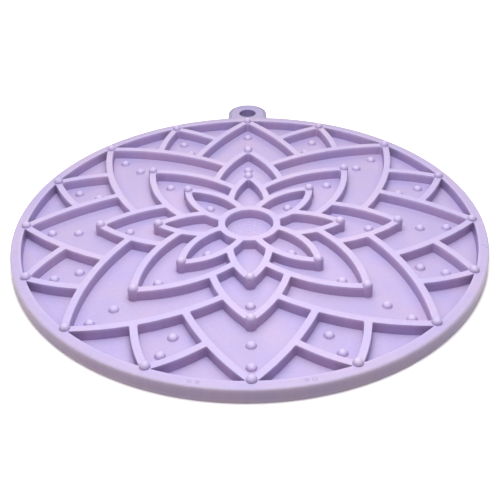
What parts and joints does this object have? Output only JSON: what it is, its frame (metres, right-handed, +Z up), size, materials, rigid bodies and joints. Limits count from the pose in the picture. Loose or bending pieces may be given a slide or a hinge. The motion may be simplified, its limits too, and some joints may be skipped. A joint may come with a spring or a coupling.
{
  "type": "lick mat",
  "caption": "Round lick mat: a shallow moulded tray with a rim, ridges in the shape of a layered flower, domed studs and nubs, and a hang tab.",
  "frame": {"origin": "centre of the round mat on its flat underside", "axes": "+Z up out of the patterned face, +Y from the centre to the hang tab, +X to the right"},
  "size_m": [0.203, 0.2196, 0.0083],
  "materials": {
    "silicone": "smooth satin moulded silicone, lilac"
  },
  "bodies": {
    "root": {"floor_disc": "silicone", "rim_wall": "silicone", "hang_tab": "silicone", "centre_ring": "silicone", "inner_petal_1": "silicone", "inner_petal_2": "silicone", "inner_petal_3": "silicone", "inner_petal_4": "silicone", "inner_petal_5": "silicone", "inner_petal_6": "silicone", "inner_petal_7": "silicone", "inner_petal_8": "silicone", "middle_petal_1": "silicone", "middle_petal_2": "silicone", "middle_petal_3": "silicone", "middle_petal_4": "silicone", "middle_petal_5": "silicone", "middle_petal_6": "silicone", "middle_petal_7": "silicone", "middle_petal_8": "silicone", "outer_petal_1": "silicone", "outer_petal_2": "silicone", "outer_petal_3": "silicone", "outer_petal_4": "silicone", "outer_petal_5": "silicone", "outer_petal_6": "silicone", "outer_petal_7": "silicone", "outer_petal_8": "silicone", "edge_petal_1": "silicone", "edge_petal_2": "silicone", "edge_petal_3": "silicone", "edge_petal_4": "silicone", "edge_petal_5": "silicone", "edge_petal_6": "silicone", "edge_petal_7": "silicone", "edge_petal_8": "silicone", "inner_studs": "silicone", "middle_studs": "silicone", "rim_studs": "silicone", "inner_nubs": "silicone", "middle_nubs": "silicone", "outer_nubs": "silicone", "edge_nubs": "silicone"}
  },
  "joints": []
}
